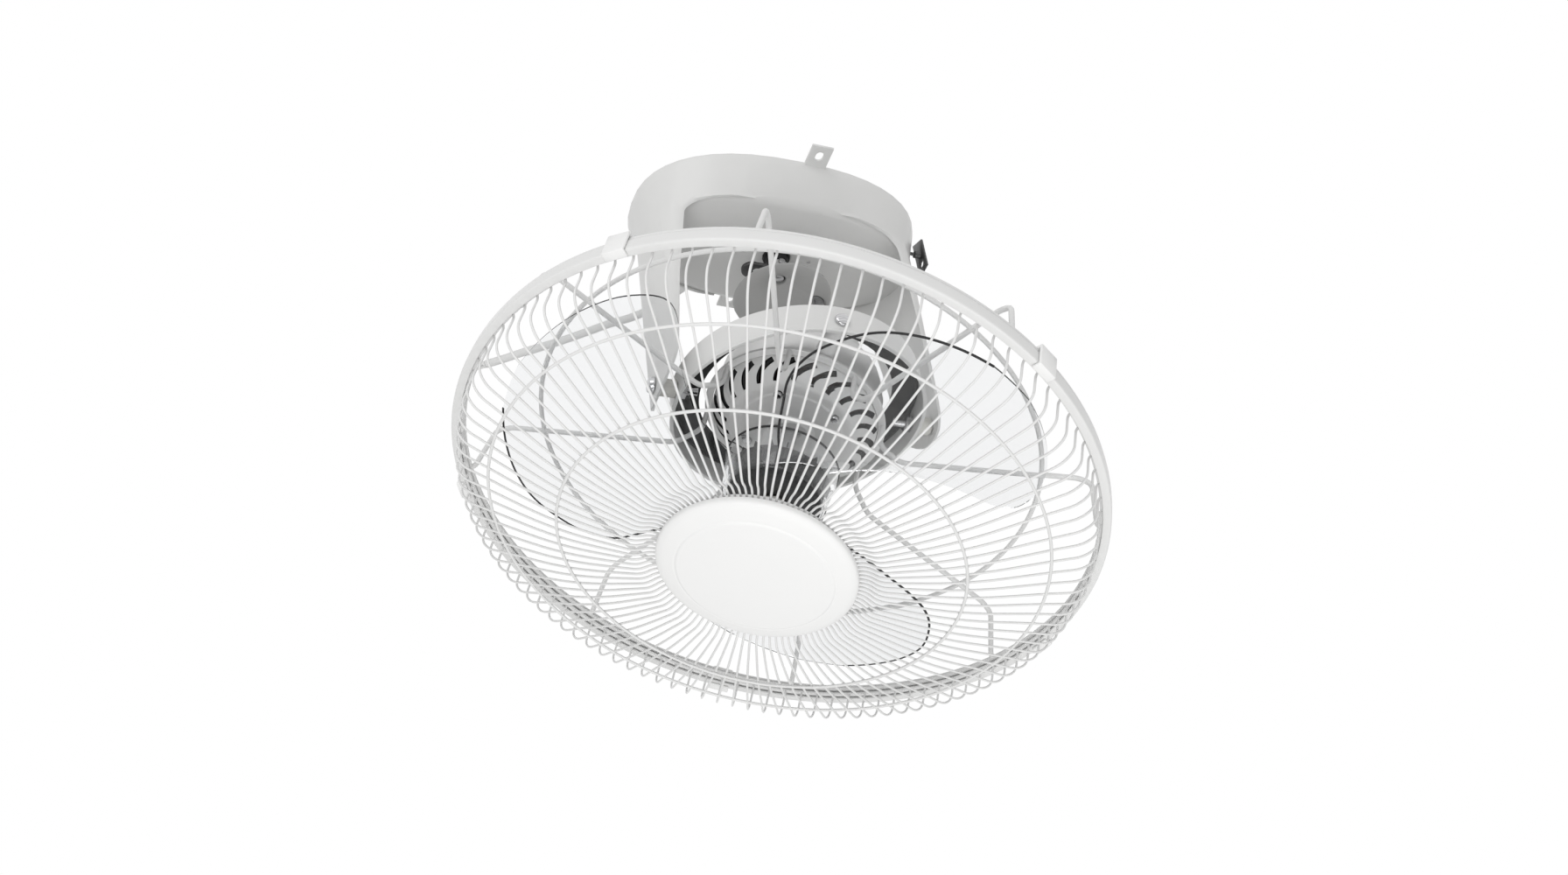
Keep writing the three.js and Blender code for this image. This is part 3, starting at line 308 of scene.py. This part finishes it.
def joinAll(name, pieces):
    deselectAll()
    for piece in pieces:
        piece.select_set(True)
    bpy.context.view_layer.objects.active = pieces[0]
    bpy.ops.object.join()
    obj = bpy.context.object
    obj.name = name
    bakePlace(obj)
    return obj


def addModifier(obj, kind, **settings):
    activate(obj)
    modifier = obj.modifiers.new(kind.title(), kind)
    for key, value in settings.items():
        setattr(modifier, key, value)
    bpy.ops.object.modifier_apply(modifier=modifier.name)


def smoothCopy(node, round, angle=35, smooth=35):
    # A solid's own shape with its facets merged, its edges sharper than angle rounded, and its curves
    # shaded as one where they bend by less than smooth.
    source = frame["nodes"][node]
    obj = source.copy()
    obj.data = source.data.copy()
    obj.parent = None
    obj.matrix_world = source.matrix_world
    obj.name = "dressed_" + node
    bpy.context.collection.objects.link(obj)
    activate(obj)
    bpy.ops.object.mode_set(mode="EDIT")
    bpy.ops.mesh.select_all(action="SELECT")
    bpy.ops.mesh.remove_doubles(threshold=2e-5)
    bpy.ops.mesh.dissolve_limited(angle_limit=math.radians(1))
    bpy.ops.mesh.normals_make_consistent(inside=False)
    bpy.ops.object.mode_set(mode="OBJECT")
    addModifier(obj, "BEVEL", width=round * mm, segments=2, limit_method="ANGLE",
                angle_limit=math.radians(angle), use_clamp_overlap=True)
    finishPiece(obj, bodyOf[node], slotOf[node], [node], smooth=smooth)
    return obj


# ---- bracket, drive and fasteners: the solids' own shapes, rounded

# The bracket is pressed, so its bends are soft and shade as one surface.
pressedAngles = {"canopy_bracket": {"angle": 55, "smooth": 70}}
roundedEdges = {
    "canopy_bracket": 0.8, "safety_lug": 0.25, "orbit_motor_case": 0.5, "orbit_bush": 0.5,
    "terminal_block": 0.5, "run_capacitor": 0.8, "cord_gland": 0.3, "crank_hub": 0.5, "crank_arm": 0.4,
    "crank_cone": 0.3, "crank_pin": 0.5, "orbit_shaft": 0.4, "orbit_output_gear": 0.3,
    "crank_set_screw": 0.25, "orbit_motor_screw_left": 0.25, "orbit_motor_screw_right": 0.25,
    "ring_pivot_bolt_left": 0.5, "ring_pivot_bolt_right": 0.5, "ring_pivot_bush_left": 0.4,
    "ring_pivot_bush_right": 0.4, "ring_pivot_nut_left": 0.4, "ring_pivot_nut_right": 0.4,
    "motor_rear_bell": 0.6, "motor_rear_cap": 0.8, "tail_ball": 0.4, "head_pivot_screw_near": 0.6,
    "head_pivot_screw_far": 0.6, "head_pivot_bush_near": 0.3, "head_pivot_bush_far": 0.3,
    "motor_bell_screw_1": 0.25, "motor_bell_screw_2": 0.25, "motor_bell_screw_3": 0.25,
    "motor_bell_screw_4": 0.25, "guard_clip_1": 0.7, "guard_clip_2": 0.7, "guard_clip_3": 0.7,
    "guard_clip_4": 0.7, "guard_clip_5": 0.7, "cap_plate": 0.4, "cap_screw_1": 0.2, "cap_screw_2": 0.2,
    "hub_nut": 0.6, "motor_shaft": 0.4, "front_bearing": 0.3, "rear_bearing": 0.3, "stator_core": 0.2,
    "stator_winding": 1.2, "rotor_core": 0.3,
}
for node, width in roundedEdges.items():
    smoothCopy(node, width, **pressedAngles.get(node, {}))
print("solids dressed")


# ---- gimbal ring, and a near-black liner in it as painted shade

ringSizes = {
    "radius": 96, "wall": 1.6, "below": 12, "above": 14, "lip": 1.4, "lipHeight": 1.4, "lipSlope": 3.2,
    "shadeLinerGap": 0.3, "shadeLinerInner": 74, "shadeLinerTop": 11.5, "shadeLinerThickness": 2, "shadeLinerSkirt": 3.5,
}


def makeRing():
    s = ringSizes
    inner, low, top = s["radius"] - s["wall"], -s["below"], s["above"]
    obj = turnedPiece("gimbalHoop", [
        (inner, low, 0.5), (s["radius"] + s["lip"], low, 0.9), (s["radius"] + s["lip"], low + s["lipHeight"], 0.9),
        (s["radius"], low + s["lipSlope"], 1.2), (s["radius"], top, 0.7), (inner, top, 0.7),
    ], 160)
    obj.location.z = -head["drop"] * mm
    bakePlace(obj)
    finishPiece(obj, "ring", "white_paint", ["gimbal_ring"])
    # The black liner fills the ring's inside with near-black as painted shade, standing in for the deep shadow
    # between the ring and the motor.
    outer, lid = inner - s["shadeLinerGap"], s["shadeLinerTop"]
    under, skirt = lid - s["shadeLinerThickness"], lid - s["shadeLinerSkirt"]
    shadeLiner = turnedPiece("gimbalShadeLiner", [
        (s["shadeLinerInner"], under, 0.6), (outer - s["shadeLinerThickness"], under, 0.8),
        (outer - s["shadeLinerThickness"], skirt), (outer, skirt, 0.3), (outer, lid, 0.8), (s["shadeLinerInner"], lid, 0.6),
    ], 128)
    shadeLiner.location.z = -head["drop"] * mm
    bakePlace(shadeLiner)
    finishPiece(shadeLiner, "ring", "black_plastic", ["gimbal_liner"])


makeRing()
print("gimbal made")


# ---- motor's front bell, with its curved slots

bellSizes = {
    "radius": 63, "start": 9.3, "shoulder": 14, "faceRadius": 47, "face": 27, "noseRadius": 16, "nose": 33,
    "wall": 2.5, "slots": 24, "slotWidth": 4.8, "slotInner": 49, "slotOuter": 62.5, "slotLean": 14,
    "slotPhase": 4, "holeCircle": 38.5, "holeRadius": 3.3, "holeTurns": (-123, -52, 57, 128),
    "shaftHole": 7, "seatRadius": 11.3, "seatDepth": 11.5, "seatOuter": 13.8, "slope": 0.69, "slotSlope": 0.66,
}


def makeBell():
    s = bellSizes
    w, outer, rim, seat = s["wall"], s["radius"], s["faceRadius"], s["seatRadius"]
    face, nose, shoulder = -s["face"], -s["nose"], -s["shoulder"]
    bell = turnedPiece("motorFrontBell", [
        (outer, -s["start"]), (outer, shoulder, 3), (outer - 3, shoulder - 4, 3), (rim, face, 6),
        (rim - 7, face - 0.1, 1), (rim - 8.5, face - 0.9, 1), (s["noseRadius"] + 2, face - 1.5, 1.5),
        (s["noseRadius"], nose, 1), (s["shaftHole"], nose), (s["shaftHole"], nose + w), (seat, nose + w),
        (seat, nose + s["seatDepth"]), (s["seatOuter"], nose + s["seatDepth"]), (s["seatOuter"], face + w),
        (rim - 1, face + w, 3), (outer - 3 - w, shoulder - 2.4, 2), (outer - w, -s["start"]),
    ], 160)
    # The inside of the casting is painted near-black as painted shade, standing in for the shadow inside the
    # motor; the cutters bring the same painted shade to the sides of the slots.
    paint(bell, "grey_paint", "black_plastic")
    for polygon in bell.data.polygons:
        radius, height = polygon.center.to_2d().length / mm, polygon.center.z / mm
        behind = height - face - max(0, radius - rim) * s["slope"]
        if s["noseRadius"] + 1 < radius < outer - w / 2 and behind > w / 2:
            polygon.material_index = 1
    path = []
    for i in range(9):
        t = i / 8
        radius = s["slotInner"] + (s["slotOuter"] - s["slotInner"]) * t
        turn = math.radians(s["slotLean"] * (t * t - 0.5))
        height = face + w / 2 + (radius - rim) * s["slotSlope"]
        path.append((radius * math.cos(turn), radius * math.sin(turn), height))
    cutter = wirePiece("slotCutter", path, s["slotWidth"] / 2, 3)
    # The slot sides take the same near-black painted shade.
    paint(cutter, "grey_paint", "black_plastic")
    for polygon in cutter.data.polygons:
        polygon.material_index = 1
    cutters = copiesAround(cutter, s["slots"], s["slotPhase"])
    for turn in s["holeTurns"]:
        x, y = [s["holeCircle"] * part(math.radians(turn)) for part in (math.cos, math.sin)]
        cutters.append(wirePiece("holeCutter", [(x, y, face - 5), (x, y, face + 6)], s["holeRadius"], 4))
    tool = joinAll("bellCutters", cutters)
    addModifier(bell, "BOOLEAN", object=tool, operation="DIFFERENCE", solver="EXACT")
    bpy.data.objects.remove(tool)
    finishPiece(onHead(bell), "fan_head", "grey_paint", ["motor_front_bell"], (), smooth=30)


makeBell()
print("motor bell made")


# ---- guards, trim ring and cap

guardSizes = {
    "edgeRadius": 229.6, "edgeWire": 1.7, "edgeLift": 2.6, "wire": 0.85, "count": 108, "outerRing": 197.6,
    "outerTop": 41, "innerRing": 143.2, "innerTop": 59.4, "ringWire": 1.1, "endRadius": 60, "endTop": 61.5,
}
rearSizes = {
    "wires": 8, "wire": 2, "supportRadius": 186, "supportBack": 48.6, "supportWire": 1.8,
    "collarInner": 63.4, "collarOuter": 69, "collarTop": -9.8, "collarLow": -12.6,
}
# Each wire's bends, as radius, height ahead of the band and rounding.
frontPath = [(229.6, 2.6), (227.4, 6, 2), (227.4, 25, 12), (218.5, 34.5, 9), (197.6, 40.6, 14),
             (143.2, 58.6, 30), (86, 66.4, 6), (77, 61.5, 4), (60, 61.5)]
rearPath = [(229.6, -2.6), (226.6, -5, 3), (222, -43, 5), (212, -47.4, 4), (84, -47.4, 7), (67, -64, 7),
            (67, -85)]


def radialPath(path, steps=6):
    return [(point[0], 0, -(head["bandDistance"] + point[1])) for point in softBends(path, steps)]


def makeGuards():
    s = guardSizes
    ahead = lambda top: head["bandDistance"] + top
    spokes = copiesAround(wirePiece("spoke", radialPath(frontPath), s["wire"]), s["count"], 180 / s["count"])
    hoops = [
        hoop("edgeHoop", s["edgeRadius"], ahead(s["edgeLift"]), s["edgeWire"], 180),
        hoop("outerHoop", s["outerRing"], ahead(s["outerTop"]), s["ringWire"], 180),
        hoop("innerHoop", s["innerRing"], ahead(s["innerTop"]), s["ringWire"]),
        hoop("endHoop", s["endRadius"], ahead(s["endTop"]), s["ringWire"], 96),
    ]
    front = joinAll("frontGrille", spokes + hoops)
    finishPiece(onHead(front), "fan_head", "white_paint", ["front_guard"], [grille], smooth=60)

    r = rearSizes
    inner, outer, top, low = r["collarInner"], r["collarOuter"], r["collarTop"], r["collarLow"]
    legs = copiesAround(wirePiece("leg", radialPath(rearPath), r["wire"], 3), r["wires"], 180 / r["wires"])
    hoops = [
        hoop("rearEdgeHoop", s["edgeRadius"], ahead(-s["edgeLift"]), s["edgeWire"], 180),
        hoop("supportHoop", r["supportRadius"], ahead(-r["supportBack"]), r["supportWire"], 160),
        turnedPiece("collar", [(inner, top, 0.6), (outer, top, 0.8), (outer, low, 0.8), (inner, low, 0.6)], 128),
    ]
    rear = joinAll("rearFrame", legs + hoops)
    finishPiece(onHead(rear), "fan_head", "white_paint", ["rear_guard"], [grille], smooth=60)


bandSizes = {"radius": 236, "lipRadius": 230, "wall": 1.7, "halfHeight": 7, "groove": 0.9}


def makeBand():
    s = bandSizes
    out, lip, w, half = s["radius"], s["lipRadius"], s["wall"], s["halfHeight"]
    outline = [
        (lip, half, 0.5), (out - 1, half, 0.9), (out - 1, half - 2.4, 0.4), (out - 1 - s["groove"], half - 3, 0.4),
        (out - 0.2, half - 3.9, 0.6), (out, 0, 4), (out, -half, 1.6), (lip, -half, 0.5), (lip, -half + w, 0.5),
        (out - w, -half + w, 1.2), (out - w - 1, half - w, 1.2), (lip, half - w, 0.5),
    ]
    band = turnedPiece("trimBand", [(p[0], p[1] - head["bandDistance"], *p[2:]) for p in outline], 240, steps=4)
    finishPiece(onHead(band), "fan_head", "white_plastic", ["trim_ring"], [grille], smooth=40)


capSizes = {"radius": 71, "edgeBack": 64.8, "edgeTop": 70, "crown": 77, "lineRadius": 56, "wall": 2.2}


def makeCap():
    s = capSizes
    line, out, inside = s["lineRadius"], s["radius"], s["radius"] - s["wall"]
    crown, edge, back = -s["crown"], -s["edgeTop"], -s["edgeBack"]
    outline = [
        (0.4, crown + 0.05), (line * 0.5, crown + 0.5, 8), (line - 1.2, crown + 2.3, 1.5),
        (line, crown + 3.3, 0.6), (line + 1.4, crown + 3.3, 1), (out - 4, edge - 1.6, 3), (out, edge + 1, 3),
        (out, back, 0.5), (inside, back, 0.5), (inside, edge + 2.5, 1), (line, crown + 6, 3), (0.4, crown + 2.4),
    ]
    cap = turnedPiece("centreCap", [(p[0], p[1] - head["bandDistance"], *p[2:]) for p in outline], 160,
                      closed=False)
    finishPiece(onHead(cap), "fan_head", "white_plastic", ["centre_cap"], smooth=40)


makeGuards()
makeBand()
makeCap()
print("guards made")


# ---- clear impeller

bladeSizes = {
    "count": 3, "phase": 60, "thickness": 1.6, "middle": 87, "rootMiddle": 84, "pitch": 0.46, "rootPitch": 0.3,
    "outline": [(39.6, -44, 16), (72, -46, 22), (104, -45, 31), (130, -44, 38), (152, -40, 43), (170, -34, 43),
                (184, -28, 36), (193, -21, 26), (199, -13, 15), (203, -5, 6)],
    "along": 54, "across": 20,
}
hubSizes = {
    "radius": 42, "frontRadius": 38, "wall": 2, "rear": 64, "front": 101, "rimWire": 1.1, "edgeWire": 0.85,
    "bossRadius": 18, "bossTop": 66, "coreRadius": 36.4, "coreTop": 78, "coreEnd": 98.6, "coreBore": 5.4,
    "cupBore": 6, "fins": 18, "finWidth": 1.1, "finHeight": 7, "flutes": 18, "fluteWire": 0.55, "fluteEnd": 94,
}


def between(values, t):
    # A smooth line through evenly spaced values.
    spot = min(t * (len(values) - 1), len(values) - 1.000001)
    i = int(spot)
    u = spot - i
    a, b, c, d = [values[max(0, min(len(values) - 1, i + k))] for k in (-1, 0, 1, 2)]
    return b + 0.5 * u * (c - a + u * (2 * a - 5 * b + 4 * c - d + u * (3 * (b - c) + d - a)))


def bladeSpot(t, share):
    # A point of the blade's middle surface: how far out, and how far from the front edge to the rear one.
    s = bladeSizes
    radius, frontEdge, rearEdge = [between([row[k] for row in s["outline"]], t) for k in range(3)]
    outward = min(1, t * 3)
    turn = frontEdge + (rearEdge - frontEdge) * share
    pitch = s["rootPitch"] + (s["pitch"] - s["rootPitch"]) * outward
    ahead = s["rootMiddle"] + (s["middle"] - s["rootMiddle"]) * outward - pitch * turn
    return radius * math.cos(math.radians(turn)), radius * math.sin(math.radians(turn)), -ahead


def makeCore():
    # The hub's black core: a boss behind, a wide fluted drum ahead, and thin fins between.
    h = hubSizes
    out, boss, top = h["coreRadius"], h["bossRadius"], -h["coreTop"]
    core = turnedPiece("hubCore", [
        (h["coreBore"], -h["bossTop"], 0.5), (boss - 1, -h["bossTop"], 2), (boss, top, 1), (out, top, 1.6),
        (out - 1.8, -h["coreEnd"], 1), (h["coreBore"], -h["coreEnd"]),
    ], 108)
    deselectAll()
    bpy.ops.mesh.primitive_cube_add(size=mm, location=(0, 0, 0))
    fin = bpy.context.object
    fin.scale = (out - boss - 3, h["finWidth"], h["finHeight"])
    fin.location = Vector(((out + boss) / 2 - 0.5, 0, top + 3)) * mm
    bakePlace(fin)
    addModifier(fin, "BEVEL", width=0.3 * mm, segments=2)
    fins = copiesAround(fin, h["fins"])
    flute = wirePiece("flute", [(out - 0.1, 0, top - 2), (out - 1.5, 0, -h["fluteEnd"])], h["fluteWire"])
    obj = joinAll("hubCore", [core] + fins + copiesAround(flute, h["flutes"]))
    finishPiece(onHead(obj), "rotor", "black_plastic", ["hub_insert"])


def makeImpeller():
    # Three clear blades with a near-black wire along the front edge, on a clear cup with a near-black ring at its
    # rim; the wire and ring are painted shade for the dark look of clear plastic's edges.
    s, h = bladeSizes, hubSizes
    deselectAll()
    bpy.ops.mesh.primitive_grid_add(x_subdivisions=s["along"], y_subdivisions=s["across"], size=1)
    blade = bpy.context.object
    blade.name = "blade"
    for vertex in blade.data.vertices:
        vertex.co = Vector(bladeSpot(vertex.co.x + 0.5, vertex.co.y + 0.5)) * mm
    paint(blade, "clear_plastic")
    addModifier(blade, "SOLIDIFY", thickness=s["thickness"] * mm, offset=0)
    # A near-black wire along each blade's front edge: painted shade for the dark look of the clear edge.
    edge = [bladeSpot(0.01 + 0.99 * i / s["along"], 0) for i in range(s["along"] + 1)]
    edgeShadeWire = wirePiece("frontEdgeShade", edge, h["edgeWire"])
    paint(edgeShadeWire, paintedEdgeShade)
    blades = copiesAround(joinAll("blade", [blade, edgeShadeWire]), s["count"], s["phase"])

    inner, floor = h["frontRadius"] - h["wall"], -h["front"] + h["wall"]
    cup = turnedPiece("hubCup", [
        (h["radius"], -h["rear"], 0.5), (h["radius"] - h["wall"], -h["rear"], 0.5), (inner, floor, 3),
        (h["cupBore"], floor), (h["cupBore"], -h["front"]), (h["frontRadius"], -h["front"], 4),
    ], 96)
    paint(cup, "clear_plastic")
    # A near-black ring at the cup's rim: painted shade for the dark look of the clear rim.
    rim = hoop("hubRim", h["radius"] - 0.6, h["rear"] + 0.4, h["rimWire"], 96)
    paint(rim, paintedEdgeShade)
    obj = joinAll("clearImpeller", blades + [cup, rim])
    finishPiece(onHead(obj), "rotor", "clear_plastic", ["impeller"], (), smooth=40)


makeCore()
makeImpeller()
print("impeller made")


# ---- supply lead

leadSizes = {
    "radius": 3.5, "seat": (-57.5, 62.5, -14.9), "out": (-0.55, 0.83, -0.06), "sleeve": 36, "gap": 0.3,
    "straight": 8,
    "route": [(-94, 109, -19.5), (-111, 119, -21.5), (-128, 130.5, -24), (-144, 141, -26.5), (-161, 150.5, -29.5),
              (-178, 160, -32.5), (-193, 168.5, -35.5), (-207, 176, -38)],
}


def throughPoints(points, steps=12):
    # A centripetal curve through the points, so that the lead lies where its solid does.
    ends = [points[0] * 2 - points[1], *points, points[-1] * 2 - points[-2]]
    result = []
    for a, b, c, d in zip(ends, ends[1:], ends[2:], ends[3:]):
        t0 = 0
        t1 = t0 + (b - a).length ** 0.5
        t2 = t1 + (c - b).length ** 0.5
        t3 = t2 + (d - c).length ** 0.5
        for k in range(steps):
            t = t1 + (t2 - t1) * k / steps
            a1 = a * (t1 - t) / (t1 - t0) + b * (t - t0) / (t1 - t0)
            a2 = b * (t2 - t) / (t2 - t1) + c * (t - t1) / (t2 - t1)
            a3 = c * (t3 - t) / (t3 - t2) + d * (t - t2) / (t3 - t2)
            b1 = a1 * (t2 - t) / (t2 - t0) + a2 * (t - t0) / (t2 - t0)
            b2 = a2 * (t3 - t) / (t3 - t1) + a3 * (t - t1) / (t3 - t1)
            result.append(b1 * (t2 - t) / (t2 - t1) + b2 * (t - t1) / (t2 - t1))
    return result + [points[-1]]


def makeLead():
    s = leadSizes
    out = Vector(s["out"]).normalized()
    starts = [Vector(s["seat"]) + out * (s["sleeve"] + s["gap"] + more) for more in (0, s["straight"])]
    line = throughPoints(starts + [Vector(p) for p in s["route"]])
    curve = bpy.data.curves.new("supplyLead", "CURVE")
    curve.dimensions = "3D"
    curve.bevel_depth = s["radius"] * mm
    curve.bevel_resolution = 6
    curve.use_fill_caps = True
    run = curve.splines.new("POLY")
    run.points.add(len(line) - 1)
    for spot, point in zip(run.points, line):
        spot.co = (*(point * mm), 1)
    lead = bpy.data.objects.new("supplyLead", curve)
    bpy.context.collection.objects.link(lead)
    curve.materials.append(materials["cord_jacket"])
    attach(lead, "ceiling_bracket")
    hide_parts("supply_cord")
    cores = smoothCopy("supply_cord_cores", 0.1)


makeLead()


# ---- stage, light and camera

stageSizes = {"floorWidth": 80, "floorHeight": -2.4, "ambient": 0.62, "background": 1.0}
# Each lamp's place, the point that it aims at, its size and its watts.
lamps = {
    "keyLight": ((-1.1, -1.3, -1.7), (0, 0, -0.2), 1.3, 12),
    "lowLight": ((0.1, -0.2, -2.1), (0, 0, -0.1), 1.6, 12),
    "topLight": ((-1.2, -1.6, 0.5), (0, 0, -0.1), 1.2, 8),
}
# The camera's place in metres, and which way its right side, its underside and its lens face.
view = {
    "place": (-0.3655, -0.7946, -0.9288), "right": (0.94, -0.3257, -0.1019), "down": (0.1318, 0.6218, -0.772),
    "ahead": (0.3148, 0.7122, 0.6274), "lens": 34.523,
}


def makeStage():
    s = stageSizes
    deselectAll()
    bpy.ops.mesh.primitive_plane_add(size=s["floorWidth"], location=(0, 0, s["floorHeight"]))
    floor = bpy.context.object
    floor.name = "floor"
    material = makeMaterial(
        "floorPaint", (0.78, 0.78, 0.775), (0.82, 0.82, 0.815), rough=0.7, scale=60, depth=0.1)
    floor.data.materials.append(material)

    world = bpy.data.worlds.new("studio")
    bpy.context.scene.world = world
    world.use_nodes = True
    nodes, links = world.node_tree.nodes, world.node_tree.links
    background = nodes["Background"]
    # The background is white where it is seen, mirrored or looked at through clear plastic.
    rays = nodes.new("ShaderNodeLightPath")
    seen = rays.outputs["Is Camera Ray"]
    for ray in ("Is Glossy Ray", "Is Transmission Ray"):
        larger = nodes.new("ShaderNodeMath")
        larger.operation = "MAXIMUM"
        links.new(seen, larger.inputs[0])
        links.new(rays.outputs[ray], larger.inputs[1])
        seen = larger.outputs[0]
    level = nodes.new("ShaderNodeMapRange")
    level.inputs["To Min"].default_value = s["ambient"]
    level.inputs["To Max"].default_value = s["background"]
    links.new(seen, level.inputs["Value"])
    links.new(level.outputs["Result"], background.inputs["Strength"])
    background.inputs["Color"].default_value = (1, 1, 1, 1)

    for name, (place, aim, size, power) in lamps.items():
        lamp = bpy.data.lights.new(name, "AREA")
        lamp.size = size
        lamp.energy = power
        holder = bpy.data.objects.new(name, lamp)
        bpy.context.collection.objects.link(holder)
        holder.location = place
        holder.rotation_euler = (Vector(aim) - Vector(place)).to_track_quat("-Z", "Y").to_euler()


def makeCamera():
    camera = bpy.data.cameras.new("camera")
    camera.sensor_fit = "HORIZONTAL"
    camera.sensor_width = 36
    camera.lens = view["lens"]
    camera.clip_start = 0.01
    holder = bpy.data.objects.new("camera", camera)
    bpy.context.collection.objects.link(holder)
    place = Matrix([[view["right"][i], -view["down"][i], -view["ahead"][i]] for i in range(3)]).to_4x4()
    place.translation = view["place"]
    holder.matrix_world = place
    bpy.context.scene.camera = holder


makeStage()
makeCamera()
bpy.context.scene.view_settings.view_transform = "Standard"
print("stage set")
